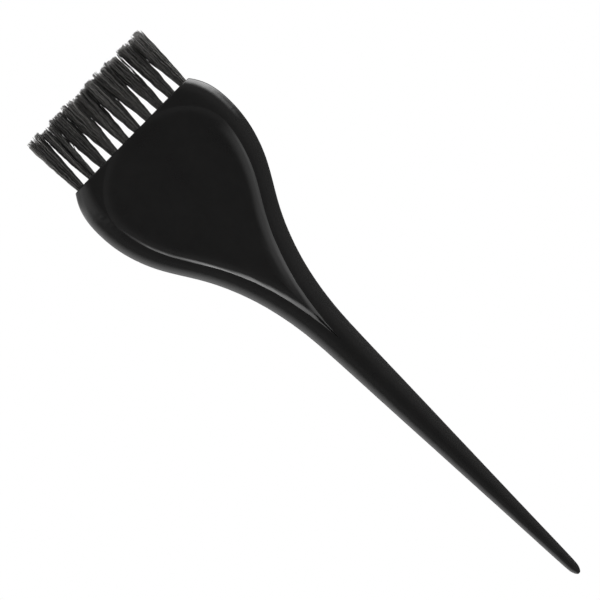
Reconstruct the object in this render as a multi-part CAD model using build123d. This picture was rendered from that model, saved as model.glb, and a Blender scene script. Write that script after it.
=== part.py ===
from build123d import *

import os
from math import cos, pi, sin, sqrt

# A tint brush lying flat. X runs across the head, Y along the brush with the bristles towards +Y,
# and Z up through its thickness. The origin is under the middle of its bounding box. A station is a
# distance along the brush from the face that holds the bristles, positive towards the tail.

# Whole brush
OVERALL_LENGTH = 225.0
BRISTLE_LENGTH = 23.2

# Row of tufts, and the holes that hold them
TUFT_COUNT = 10
TUFT_PITCH = 5.24
HOLE_DIAMETER = 3.0
HOLE_DEPTH = 9.5
HOLE_CHAMFER = 0.15
TUFT_CLEARANCE = 0.05
TIP_GAP = 0.2
TIP_ROUNDING = 0.8
FLARE_LENGTH = 8.4
FLARE_DIAMETER = 4.0
FLARE_SLOPE = 0.1

# Anchors: flat strips driven across each hole, near its bottom
ANCHOR_BITE = 0.2
ANCHOR_HEIGHT = 1.6
ANCHOR_THICKNESS = 0.35
ANCHOR_CLEARANCE = 0.02
FOLD_THICKNESS = 0.8
HOLE_BOTTOM_CLEARANCE = 0.1

# Outline of the head and handle, as half widths at stations
END_WALL = 1.0
HEAD_FLARE = 4.25
CORNER_SLOPE = 0.76
WIDEST_STATION = 15.0
WAIST_STATION = 43.0
WAIST_WIDTH = 42.3
WAIST_SLOPE = -0.65
HEAD_LENGTH = 95.0
NECK_WIDTH = 11.9
TAIL_WIDTH = 3.7
NOSE_LENGTH = 4.5
NOSE_TURN = 5 * pi / 12

# Thickness of the head and the oval handle, and the roll of their long edges
FACE_THICKNESS = 6.8
RIB_STATION = 75.0
RIB_THICKNESS = 7.2
NECK_THICKNESS = 6.9
TAIL_THICKNESS = 3.3
EDGE_ROLL = 6.5
CROWN_FLAT = 0.5
FACE_ROUNDING = 0.45

# Scoop in both faces of the head: a flat floor that deepens a little towards the neck, and a
# hollow wall up to a crest along each edge
FLOOR_THICKNESS = 5.2
FLOOR_TAPER = 0.007
SCOOP_INSET = 5.7
SCOOP_WALL = 5.4
WALL_POWER = 3
SCOOP_WIDEST = 18.0
SCOOP_REACH = 19.3
SCOOP_DEPTHS = [0, 0.25, 0.5, 0.75, 1, 1.15]

handle_length = OVERALL_LENGTH - BRISTLE_LENGTH
bristle_face_y = OVERALL_LENGTH / 2 - BRISTLE_LENGTH
row_length = (TUFT_COUNT - 1) * TUFT_PITCH
face_width = row_length + HOLE_DIAMETER + 2 * END_WALL
nose_station = handle_length - NOSE_LENGTH
width_taper = (TAIL_WIDTH - NECK_WIDTH) / 2 / (nose_station - HEAD_LENGTH)
thickness_taper = (TAIL_THICKNESS - NECK_THICKNESS) / 2 / (nose_station - HEAD_LENGTH)
rib_slope = (RIB_THICKNESS - FACE_THICKNESS) / 2 / RIB_STATION
tuft_bottom_y = bristle_face_y - HOLE_DEPTH + HOLE_BOTTOM_CLEARANCE
anchor_y = tuft_bottom_y + FOLD_THICKNESS + ANCHOR_CLEARANCE + ANCHOR_HEIGHT / 2
tuft_places = [TUFT_PITCH * i - row_length / 2 for i in range(TUFT_COUNT)]


def smooth_curve(station, nodes):
    """The height at a station of a smooth curve through nodes of (station, height, slope)."""
    start, end = next(pair for pair in zip(nodes, nodes[1:]) if station <= pair[1][0])
    span = end[0] - start[0]
    t = (station - start[0]) / span
    rise = 3 * t**2 - 2 * t**3
    ends = (t**3 - 2 * t**2 + t) * start[2] + (t**3 - t**2) * end[2]
    return start[1] * (1 - rise) + end[1] * rise + ends * span


def nose_share(station):
    """How much of the tail's section is left at a station of its rounded nose."""
    turn_sine = (station - nose_station) / NOSE_LENGTH * sin(NOSE_TURN)
    return sqrt(1 - turn_sine**2)


def half_width(station):
    """Half the width of the head or handle at a station."""
    if station >= nose_station:
        return TAIL_WIDTH / 2 * nose_share(station)
    return smooth_curve(
        station,
        [
            (0, face_width / 2, CORNER_SLOPE),
            (WIDEST_STATION, face_width / 2 + HEAD_FLARE, 0),
            (WAIST_STATION, WAIST_WIDTH / 2, WAIST_SLOPE),
            (HEAD_LENGTH, NECK_WIDTH / 2, width_taper),
            (nose_station, TAIL_WIDTH / 2, width_taper),
        ],
    )


def half_thickness(station):
    """Half the thickness of the ribs along the head, and then of the oval handle."""
    if station >= nose_station:
        return TAIL_THICKNESS / 2 * nose_share(station)
    return smooth_curve(
        station,
        [
            (0, FACE_THICKNESS / 2, rib_slope),
            (RIB_STATION, RIB_THICKNESS / 2, rib_slope),
            (HEAD_LENGTH, NECK_THICKNESS / 2, thickness_taper),
            (nose_station, TAIL_THICKNESS / 2, thickness_taper),
        ],
    )


def station_of_width(width):
    """The station, past the widest one, where half the outline's width has fallen to this."""
    near, far = WIDEST_STATION, nose_station
    for _ in range(40):
        middle = (near + far) / 2
        near, far = (middle, far) if half_width(middle) > width else (near, middle)
    return near


def spread(start, end, count):
    """Stations evenly spaced from the start up to, but without, the end."""
    return [start + (end - start) * i / count for i in range(count)]


section_stations = (
    spread(0, WIDEST_STATION, 4)
    + spread(WIDEST_STATION, WAIST_STATION, 4)
    + spread(WAIST_STATION, HEAD_LENGTH, 7)
    + spread(HEAD_LENGTH, nose_station, 5)
    + [nose_station + NOSE_LENGTH * sin(NOSE_TURN * i / 3) / sin(NOSE_TURN) for i in range(4)]
)
axis_height = max(half_thickness(station) for station in spread(RIB_STATION, HEAD_LENGTH, 40))


def body_section(station):
    """Closed outline across the brush: two flats joined by rolled edges, each half an ellipse."""
    width, height = half_width(station), half_thickness(station)
    past_roll = width - EDGE_ROLL
    flat = (past_roll + sqrt(past_roll**2 + 4 * CROWN_FLAT**2 * min(width / EDGE_ROLL, 1))) / 2
    right = EllipticalCenterArc((flat, 0), width - flat, height, -90, arc_size=180)
    left = EllipticalCenterArc((-flat, 0), width - flat, height, 90, arc_size=180)
    top = Line(right @ 1, left @ 0)
    bottom = Line(left @ 1, right @ 0)
    across = Plane((0, bristle_face_y - station, axis_height), x_dir=(1, 0, 0), z_dir=(0, -1, 0))
    return across * Wire([right, top, left, bottom])


def scoop_contour(depth):
    """Closed outline of the scoop in one face: depth 0 is its floor, and 1 its crest."""
    inset = SCOOP_INSET + SCOOP_WALL * (1 - depth)
    tip = station_of_width(inset)
    reach = SCOOP_REACH - SCOOP_WALL * (1 - depth)
    widest = half_width(SCOOP_WIDEST) - inset

    def place(x, station):
        crest = FACE_THICKNESS / 2 + rib_slope * station
        floor = FLOOR_THICKNESS / 2 - FLOOR_TAPER * station
        height = axis_height + floor + (crest - floor) * depth**WALL_POWER
        return (x, bristle_face_y - station, height)

    steps = [i / 8 for i in range(9)]
    stations = [SCOOP_WIDEST + (tip - SCOOP_WIDEST) * step for step in steps]
    side = [(half_width(station) - inset, station) for station in stations]
    turns = [pi * step for step in steps]
    end = [(widest * cos(turn), SCOOP_WIDEST - reach * sin(turn)) for turn in turns]
    right = Spline(*[place(x, station) for x, station in reversed(side)])
    front = Spline(*[place(x, station) for x, station in end])
    left = Spline(*[place(-x, station) for x, station in side])
    return Wire([right, front, left])


def turned(edges):
    """Solid of revolution about the brush's long axis, from the edges of half its section."""
    return Pos(0, 0, axis_height) * revolve(make_face(Wire(edges)), Axis.Y)


def make_hole():
    """Space for one tuft: a blind hole with a small chamfer at its mouth."""
    radius, mouth = HOLE_DIAMETER / 2, HOLE_DIAMETER / 2 + HOLE_CHAMFER
    bottom, outside = bristle_face_y - HOLE_DEPTH, bristle_face_y + HOLE_DEPTH
    corners = [
        (0, bottom),
        (radius, bottom),
        (radius, bristle_face_y - HOLE_CHAMFER),
        (mouth, bristle_face_y),
        (mouth, outside),
        (0, outside),
    ]
    return turned(Polyline(*corners, close=True).edges())


def make_anchor(clearance=0.0):
    """One flat strip across a hole. With a clearance it is the space that the strip needs."""
    width = HOLE_DIAMETER + 2 * ANCHOR_BITE
    sizes = [size + 2 * clearance for size in (width, ANCHOR_HEIGHT, ANCHOR_THICKNESS)]
    return Pos(0, anchor_y, axis_height) * Box(*sizes)


def make_tuft():
    """One bundle: a round root folded under its anchor, and a flare from the face to the tip."""
    root, tip = HOLE_DIAMETER / 2 - TUFT_CLEARANCE, (TUFT_PITCH - TIP_GAP) / 2
    top = bristle_face_y + BRISTLE_LENGTH
    flare = Spline(
        (root, bristle_face_y),
        (FLARE_DIAMETER / 2, bristle_face_y + FLARE_LENGTH),
        (tip, top - TIP_ROUNDING),
        tangents=[(FLARE_SLOPE, 1), (0, 1)],
    )
    inside = Polyline(flare @ 1, (tip - TIP_ROUNDING, top), (0, top), (0, tuft_bottom_y),
                      (root, tuft_bottom_y), flare @ 0)
    return turned([flare, *inside.edges()]) - make_anchor(ANCHOR_CLEARANCE)


def make_handle():
    """Head and handle in one piece, scooped on both faces, with its row of tuft holes."""
    body = Solid.make_loft([body_section(station) for station in section_stations])
    scoop = Solid.make_loft([scoop_contour(depth) for depth in SCOOP_DEPTHS])
    bristle_face = body.faces().sort_by(Axis.Y)[-1]
    rounded = fillet(bristle_face.edges(), FACE_ROUNDING)
    handle = rounded - scoop - scoop.mirror(Plane((0, 0, axis_height)))
    for x in tuft_places:
        handle -= Pos(x, 0, 0) * (make_hole() + make_anchor(ANCHOR_CLEARANCE))
    return handle


os.makedirs("parts", exist_ok=True)
export_step(make_handle(), "parts/handle_body.step")
for number, x in enumerate(tuft_places, 1):
    export_step(Pos(x, 0, 0) * make_tuft(), f"parts/tuft_{number:02}.step")
    export_step(Pos(x, 0, 0) * make_anchor(), f"parts/anchor_{number:02}.step")
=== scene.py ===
import math
import random

import bpy
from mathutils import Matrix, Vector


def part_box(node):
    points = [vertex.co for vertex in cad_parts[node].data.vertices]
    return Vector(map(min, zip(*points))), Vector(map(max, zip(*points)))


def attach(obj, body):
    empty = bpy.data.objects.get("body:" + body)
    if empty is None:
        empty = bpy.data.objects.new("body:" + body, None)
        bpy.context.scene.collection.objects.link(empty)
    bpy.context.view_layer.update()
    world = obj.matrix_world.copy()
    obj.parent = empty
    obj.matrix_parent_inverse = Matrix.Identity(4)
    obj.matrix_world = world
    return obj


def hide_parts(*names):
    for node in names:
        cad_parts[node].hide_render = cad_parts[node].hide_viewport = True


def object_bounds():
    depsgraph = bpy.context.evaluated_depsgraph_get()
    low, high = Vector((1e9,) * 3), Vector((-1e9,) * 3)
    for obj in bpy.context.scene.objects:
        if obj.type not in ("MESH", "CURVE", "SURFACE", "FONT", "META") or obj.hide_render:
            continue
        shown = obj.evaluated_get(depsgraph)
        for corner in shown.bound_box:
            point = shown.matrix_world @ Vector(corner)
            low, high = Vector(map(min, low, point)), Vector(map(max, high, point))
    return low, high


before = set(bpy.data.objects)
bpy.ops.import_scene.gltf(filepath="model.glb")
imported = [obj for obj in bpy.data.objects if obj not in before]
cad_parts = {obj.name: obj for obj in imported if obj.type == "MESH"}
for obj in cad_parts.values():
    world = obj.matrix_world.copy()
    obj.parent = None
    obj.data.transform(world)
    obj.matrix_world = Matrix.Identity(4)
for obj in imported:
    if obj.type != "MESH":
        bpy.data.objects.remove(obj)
cad_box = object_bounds()


# Handle body: the head, scooped on both faces, and the long tapering handle are one piece of
# glossy black plastic, injection moulded in two halves of a mould that meet along its long edges.
# The moulder leaves a fine orange peel, soft flow marks and, with use, a haze of light scratches.
class Socket:
    """One output of a shader node. Arithmetic on it adds the Math nodes that work it out."""

    def __init__(self, tree, link=None):
        self.tree, self.link = tree, link

    def node(self, kind, settings, values, output=0):
        """Another node in this tree: its settings, the values or links of its sockets, its output."""
        made = self.tree.nodes.new("ShaderNode" + kind)
        for name, setting in settings.items():
            if name == "stops":
                while len(made.color_ramp.elements) < len(setting):
                    made.color_ramp.elements.new(1)
                for element, (position, colour) in zip(made.color_ramp.elements, setting):
                    element.position, element.color = position, colour
            else:
                setattr(made, name, setting)
        for name, value in values.items():
            if isinstance(value, Socket):
                self.tree.links.new(value.link, made.inputs[name])
            else:
                made.inputs[name].default_value = value
        return Socket(self.tree, made.outputs[output])

    def maths(self, operation, *values):
        """A Math node on values that may be sockets or numbers."""
        return self.node("Math", {"operation": operation}, dict(enumerate(values)))

    def __add__(self, other):
        return self.maths("ADD", self, other)

    def __sub__(self, other):
        return self.maths("SUBTRACT", self, other)

    def __rsub__(self, other):
        return self.maths("SUBTRACT", other, self)

    def __mul__(self, other):
        return self.maths("MULTIPLY", self, other)

    def __truediv__(self, other):
        return self.maths("DIVIDE", self, other)

    def __pow__(self, other):
        return self.maths("POWER", self, other)

    __radd__, __rmul__ = __add__, __mul__

    def eased(self, start, end):
        """A smooth step from 0 to 1 as this value goes from start to end."""
        values = {0: self, 1: start, 2: end}
        return self.node("MapRange", {"interpolation_type": "SMOOTHSTEP"}, values)

    def noise(self, scale, detail, roughness=0.5):
        """Cloudy noise at this place, around 0.5."""
        values = {"Vector": self, "Scale": scale, "Detail": detail, "Roughness": roughness}
        return self.node("TexNoise", {}, values)

    def stretched(self, scale, turn=0.0):
        """This place, turned about Z and stretched along its axes, for a drawn-out pattern."""
        return self.node("Mapping", {}, {"Vector": self, "Scale": scale, "Rotation": (0, 0, turn)})

    def mix(self, dark, light):
        """A colour between dark and light, as this value goes from 0 to 1."""
        return self.node("Mix", {"data_type": "RGBA"}, {"Factor": self, 6: dark, 7: light}, 2)

    def bump(self, distance, strength, under=None):
        """This value as a relief so many metres high, on top of another one where it is given."""
        values = {"Height": self, "Distance": distance, "Strength": strength}
        if under:
            values["Normal"] = under
        return self.node("Bump", {}, values)


def new_finish(name):
    """A new material, the place of a point on its piece, and the function that sets its surface."""
    material = bpy.data.materials.new(name)
    material.use_nodes = True
    tree = material.node_tree
    tree.nodes.clear()
    output = tree.nodes.new("ShaderNodeOutputMaterial")
    place = Socket(tree).node("TexCoord", {}, {}, "Object")

    def surface(values):
        shader = place.node("BsdfPrincipled", {}, values)
        tree.links.new(shader.link, output.inputs["Surface"])

    return material, place, surface


black_plastic, place, surface = new_finish("gloss_black_plastic")
flow = place.stretched((90, 30, 90)).noise(1.0, 3.0)
haze = place.noise(260, 4.0, 0.6)
specks = place.noise(2600, 1.0).eased(0.70, 0.78)
scratches = place.stretched((2400, 60, 900), 0.2).noise(1.0, 1.0).eased(0.66, 0.76)
peel = place.noise(900, 1.0)
deep_black = (0.0135, 0.0132, 0.0131, 1)
worn_black = (0.0175, 0.0170, 0.0167, 1)
surface(
    {
        "Base Color": (0.55 * flow + 0.45 * haze).eased(0.3, 0.7).mix(deep_black, worn_black),
        "Roughness": 0.08 + 0.07 * haze + 0.06 * scratches + 0.08 * specks,
        "IOR": 1.5,
        "Normal": scratches.bump(0.000004, 0.3, peel.bump(0.00001, 0.25)),
    }
)
handle_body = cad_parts["handle_body"]
handle_body.data.materials.clear()
handle_body.data.materials.append(black_plastic)


# Tufts: ten bundles of black nylon filament in one row, each folded in half over its anchor and
# driven into its hole, so that both halves stand out of the bristle face. They fan out towards
# tips that were cut together but have worn ragged, and the filaments lean together in clumps.
TUFT_NUMBERS = range(1, 11)
STRANDS = 140
STRAND_RADIUS = 0.000135
STRAND_SIDES = 4
STRAND_STEPS = 17
TIP_SHARE = 0.6
SMOOTH_BELOW = math.radians(95)
BUNDLE_RADIUS = 0.00138
GOLDEN_ANGLE = math.pi * (3 - math.sqrt(5))

# The fold: where a filament starts over the bottom of its tuft and beside the tuft's axis, where
# it has come round the strip, how far it keeps from the strip's middle, where it is past the
# strip, and how deep below the hole's mouth it begins to spread.
ROOT_STEPS = 3
FOLD_RISE = 0.00018
FOLD_SIDE = 0.00012
ROUND_RISE = 0.0006
HALF_STRIP = 0.00032
SQUEEZE_ROUND = 0.7
SQUEEZE_PAST = 0.75
PAST_STRIP = 0.0003
MOUTH_DEPTH = 0.0006

# The spread: how a tuft leans and fans out, how far a straight or a stray filament drifts, what
# the shears and wear have taken off its tip, and how its bend and tone differ from its clump's.
FIRST_SEED = 700
CLUMPS = 7
LEAN_X = 0.0003
LEAN_Z = 0.0002
OUTER_TUFT = 0.02
INWARD_LEAN = 0.0004
FAN_POWER = 1.6
FAN_FLATNESS = 0.9
TURN_JITTER = 0.15
DRIFT = 0.00026
STRAY_DRIFT = 0.0008
STRAY_CHANCE = 0.07
DRIFT_FLATNESS = 0.6
TRIM = 0.0001
WEAR = 0.0005
MIDDLE_TONE = 0.5
TONE_SPREAD = 0.24

black_nylon, place, surface = new_finish("black_nylon_filament")
tone = place.node("Attribute", {"attribute_name": "tone"}, {}, "Fac")
along = place.node("Attribute", {"attribute_name": "along"}, {}, "Fac")
mottle = place.stretched((1, 0.6, 1)).noise(2300, 2.0)
shade = 0.5 * tone + 0.9 * mottle + 0.1 * along - 0.25
soaked_black = (0.015, 0.0145, 0.014, 1)
scuffed_grey = (0.175, 0.170, 0.162, 1)
surface(
    {
        "Base Color": shade.eased(0.15, 0.85).mix(soaked_black, scuffed_grey),
        "Roughness": 0.36 + 0.16 * mottle,
        "IOR": 1.53,
        "Normal": mottle.bump(0.00003, 0.4),
    }
)

# Where the tufts stand along the brush and in its thickness, and how far a filament may wander
# up or down from the middle before it would touch what the brush lies on.
face_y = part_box("handle_body")[1].y
tip_y = cad_box[1].y
root_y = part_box("tuft_01")[0].y
axis_z = (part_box("tuft_01")[0].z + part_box("tuft_01")[1].z) / 2
strip_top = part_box("anchor_01")[1].y
out_length = tip_y - face_y
half_height = axis_z - cad_box[0].z - 1.5 * STRAND_RADIUS

# The filament that the others are copied from: a thin rod along Y with its worn end at the far
# side, and with one ring of points at each step, whose place along it is the ring's number.
bpy.ops.object.select_all(action="DESELECT")
bpy.ops.mesh.primitive_circle_add(
    vertices=STRAND_SIDES, radius=STRAND_RADIUS, fill_type="NGON", rotation=(math.pi / 2, 0, 0)
)
strand = bpy.context.object
bpy.ops.object.transform_apply(location=False, rotation=True, scale=False)
bpy.ops.object.mode_set(mode="EDIT")
bpy.ops.mesh.select_all(action="SELECT")
for _ in range(STRAND_STEPS):
    bpy.ops.mesh.extrude_region_move(TRANSFORM_OT_translate={"value": (0, 1, 0)})
bpy.ops.transform.resize(value=(TIP_SHARE, 1, TIP_SHARE))
bpy.ops.mesh.select_all(action="SELECT")
bpy.ops.mesh.normals_make_consistent(inside=False)
bpy.ops.object.mode_set(mode="OBJECT")
bpy.ops.object.shade_smooth_by_angle(angle=SMOOTH_BELOW)

rings = [round(vertex.co.y) for vertex in strand.data.vertices]
strand.data.attributes.new("tone", "FLOAT", "POINT")
strand.data.attributes.new("along", "FLOAT", "POINT")


def clamped(value, low, high):
    """The value, or the limit that it is past."""
    return min(max(value, low), high)


def smooth_step(value, start, end):
    """A smooth step from 0 to 1 as the value goes from start to end."""
    t = clamped((value - start) / (end - start), 0, 1)
    return t * t * (3 - 2 * t)


def make_clumps(chance):
    """The clumps of one tuft, spaced round its axis, and how the filaments of each one bend."""
    clumps = []
    for index in range(CLUMPS):
        angle = math.tau * (index + chance.random() * 0.7) / CLUMPS
        reach = chance.uniform(0.45, 0.95)
        clumps.append(
            {
                "x": math.cos(angle) * reach * BUNDLE_RADIUS,
                "z": math.sin(angle) * reach * BUNDLE_RADIUS,
                "sway": (chance.gauss(0, 0.00035), chance.gauss(0, 0.00025)),
                "drop": chance.uniform(0.0001, 0.0021),
                "crimp": chance.uniform(0.00008, 0.0002),
                "wave": chance.uniform(0.0044, 0.0066),
                "phase": chance.uniform(0, math.tau),
                "turn": chance.uniform(-0.6, 0.6),
                "tone": chance.uniform(-0.16, 0.16),
            }
        )
    return clumps


def bend_strand(chance, index, clumps, lean, fan):
    """One filament's path round its tuft's axis, from the fold to the tip, and how light it is."""
    reach = math.sqrt((index + 0.5) / STRANDS) * BUNDLE_RADIUS
    angle = index * GOLDEN_ANGLE + chance.uniform(-TURN_JITTER, TURN_JITTER)
    x = math.cos(angle) * reach
    z = math.sin(angle) * reach
    near = min(clumps, key=lambda clump: math.hypot(x - clump["x"], z - clump["z"]))
    pull = chance.uniform(0.05, 0.45)
    drift = STRAY_DRIFT if chance.random() < STRAY_CHANCE else DRIFT
    end_x = chance.gauss(near["sway"][0] + lean[0], drift)
    end_z = chance.gauss(near["sway"][1] + lean[1], drift * DRIFT_FLATNESS)
    length = out_length - near["drop"] - abs(chance.gauss(0, WEAR)) - TRIM
    crimp = near["crimp"] * chance.uniform(0.6, 1.4)
    phase = near["phase"] + chance.gauss(0, 0.6)
    turn = near["turn"] + chance.gauss(0, 0.5)
    tone = clamped(chance.gauss(MIDDLE_TONE + near["tone"], TONE_SPREAD), 0, 1)
    side = 1 if z >= 0 else -1
    path = [
        (x, root_y + FOLD_RISE, side * FOLD_SIDE),
        (x, root_y + ROUND_RISE, side * (HALF_STRIP + abs(z) * SQUEEZE_ROUND)),
        (x, strip_top + PAST_STRIP, side * (HALF_STRIP + abs(z) * SQUEEZE_PAST)),
    ]
    for step in range(STRAND_STEPS + 1 - ROOT_STEPS):
        out = -MOUTH_DEPTH + (length + MOUTH_DEPTH) * step / (STRAND_STEPS - ROOT_STEPS)
        part = max(out, 0) / out_length
        wider = 1 + fan * (1 - (1 - part) ** FAN_POWER)
        gather = smooth_step(part, 0.25, 1) * pull
        wander = smooth_step(part, 0.1, 1)
        swing = math.sin(math.tau * out / near["wave"] + phase) * crimp * smooth_step(part, 0, 0.2)
        bent_x = (x + (near["x"] - x) * gather) * wider + end_x * wander
        bent_z = (z + (near["z"] - z) * gather) * wider * FAN_FLATNESS + end_z * wander
        bent_z = clamped(bent_z + math.sin(turn) * swing, -half_height, half_height)
        path.append((bent_x + math.cos(turn) * swing, face_y + out, bent_z))
    return path, tone


def make_tuft(number):
    """One tuft of filaments in its hole, joined into one piece in place of its plain solid."""
    chance = random.Random(FIRST_SEED + number)
    low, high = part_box(f"tuft_{number:02}")
    middle_x = (low.x + high.x) / 2
    outward = 1 if middle_x > OUTER_TUFT else -1 if middle_x < -OUTER_TUFT else 0
    lean_x = chance.uniform(-LEAN_X, LEAN_X) - outward * INWARD_LEAN
    lean_z = chance.uniform(-LEAN_Z, LEAN_Z)
    fan = chance.uniform(1.04, 1.2)
    clumps = make_clumps(chance)
    strands = []
    for index in range(STRANDS):
        path, tone = bend_strand(chance, index, clumps, (lean_x, lean_z), fan)
        copy = strand.copy()
        copy.data = strand.data.copy()
        bpy.context.collection.objects.link(copy)
        alongs = []
        for vertex, ring in zip(copy.data.vertices, rings):
            x, y, z = path[ring]
            vertex.co = (middle_x + x + vertex.co.x, y, axis_z + z + vertex.co.z)
            alongs.append(clamped((y - face_y) / out_length, 0, 1))
        copy.data.attributes["tone"].data.foreach_set("value", [tone] * len(rings))
        copy.data.attributes["along"].data.foreach_set("value", alongs)
        strands.append(copy)
    bpy.ops.object.select_all(action="DESELECT")
    for copy in strands:
        copy.select_set(True)
    bpy.context.view_layer.objects.active = strands[0]
    bpy.ops.object.join()
    tuft = bpy.context.object
    tuft.name = f"filaments_{number:02}"
    tuft.data.materials.clear()
    tuft.data.materials.append(black_nylon)
    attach(tuft, "root")
    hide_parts(f"tuft_{number:02}")


for number in TUFT_NUMBERS:
    make_tuft(number)
bpy.data.objects.remove(strand)


# Anchors: short flat strips of galvanised steel, sheared from a coil of wire and driven across
# the bottom of each hole, where their ends bite into the plastic and hold the folded filaments.
galvanised, place, surface = new_finish("galvanised_strip")
grain = place.stretched((600, 600, 9000)).noise(1.0, 3.0)
spangle = place.node("TexVoronoi", {}, {"Vector": place, "Scale": 2500.0})
dull_zinc = (0.30, 0.31, 0.32, 1)
bright_zinc = (0.62, 0.63, 0.64, 1)
surface(
    {
        "Base Color": (0.6 * grain + 0.4 * spangle).mix(dull_zinc, bright_zinc),
        "Roughness": 0.28 + 0.2 * grain,
        "Metallic": 1.0,
        "Normal": grain.bump(0.00001, 0.3),
    }
)
for number in TUFT_NUMBERS:
    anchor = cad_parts[f"anchor_{number:02}"]
    anchor.data.materials.clear()
    anchor.data.materials.append(galvanised)


# Floor: a plain pale sheet that the brush lies on. It glows so evenly that it keeps no shadow,
# and the plastic doesn't mirror it: what lights the brush from below is the room.
FLOOR_SIZE = 6
FLOOR_GAP = 0.0002
white = (1, 1, 1, 1)
bpy.ops.object.select_all(action="DESELECT")
bpy.ops.mesh.primitive_plane_add(size=FLOOR_SIZE, location=(0, 0, cad_box[0].z - FLOOR_GAP))
floor = bpy.context.object
floor.name = "floor"
pale = bpy.data.materials.new("pale_floor")
pale.use_nodes = True
pale.node_tree.nodes.clear()
glow = Socket(pale.node_tree).node("Emission", {}, {"Color": white, "Strength": 1.0})
pale_output = pale.node_tree.nodes.new("ShaderNodeOutputMaterial")
pale.node_tree.links.new(glow.link, pale_output.inputs["Surface"])
floor.data.materials.append(pale)
floor.visible_diffuse = floor.visible_glossy = floor.visible_shadow = False


# Light: a dim room with a wide bright wall to the brush's left and a pale card over that wall. A
# window and a soft lamp stand low on its right. What shows behind the brush is plain white.
world = bpy.data.worlds.new("soft_room")
bpy.context.scene.world = world
world.use_nodes = True
tree = world.node_tree
tree.nodes.clear()
towards = Socket(tree).node("TexCoord", {}, {}, "Generated")
x, y, z = [towards.node("SeparateXYZ", {}, {"Vector": towards}, axis) for axis in "XYZ"]
NEVER_ZERO = 0.0001
BRIGHTEST = 8
level = (x * x + y * y + NEVER_ZERO) ** 0.5


def facing(angle, wide, soft):
    """1 for directions within so many degrees of a bearing, easing to 0 over the soft edge."""
    angle = math.radians(angle)
    share = (x * math.cos(angle) + y * math.sin(angle)) / level
    return share.eased(math.cos(math.radians(wide + soft)), math.cos(math.radians(wide)))


def rising(*stops):
    """Brightness by height over the horizon, through stops of degrees and brightness."""
    shades = []
    for height, bright in stops:
        share = bright / BRIGHTEST
        shades.append((math.sin(math.radians(height)) / 2 + 0.5, (share, share, share, 1)))
    return z.node("ValToRGB", {"stops": shades}, {"Fac": z * 0.5 + 0.5}) * BRIGHTEST


room = rising((-80, 0.03), (-50, 0.1), (0, 0.2), (30, 0.23), (60, 0.2), (85, 0.09))
low_wall = [(-85, 0), (-60, 0.35), (-40, 0.9), (-25, 1.5), (-5, 1.55)]
high_wall = [(10, 1.3), (20, 1.0), (32, 0.45), (42, 0)]
wall = facing(197, 28, 22) * rising(*low_wall, *high_wall)
card = facing(150, 8, 14) * rising(
    (10, 0.7), (30, 0.85), (45, 0.6), (60, 0.48), (73, 0.3), (86, 0)
)
window = facing(14, 4, 14) * rising(
    (-45, 0), (-28, 1.2), (-7, 0.8), (8, 0.9), (18, 1.7), (27, 1.9), (34, 0.9), (41, 0)
)
lamp = facing(36, 0, 32) * rising(
    (-50, 0), (-28, 4.4), (-7, 5.8), (10, 5.8), (20, 4.0), (25, 2.4), (31, 0.6), (37, 0)
)
seen = Socket(tree).node("LightPath", {}, {}, "Is Camera Ray")
shining = room + wall + card + window + lamp
light = seen.node("Background", {}, {"Color": white, "Strength": shining})
backdrop = seen.node("Background", {}, {"Color": white, "Strength": 1.0})
both = seen.node("MixShader", {}, {0: seen, 1: light, 2: backdrop})
world_output = tree.nodes.new("ShaderNodeOutputWorld")
tree.links.new(both.link, world_output.inputs["Surface"])


# Camera: straight above the brush on a long lens, and turned so that the bristles point up and
# to the left.
AIM_Y = 0.0135
CAMERA_HEIGHT = 1.0756
CAMERA_TURN = math.radians(-45.65)
bpy.ops.object.camera_add(
    location=(0, AIM_Y, axis_z + CAMERA_HEIGHT), rotation=(0, 0, CAMERA_TURN)
)
camera = bpy.context.object
camera.data.lens = 200
camera.data.sensor_width = 36
camera.data.clip_start = 0.01
camera.data.clip_end = 20
bpy.context.scene.camera = camera
bpy.context.scene.view_settings.view_transform = "Standard"
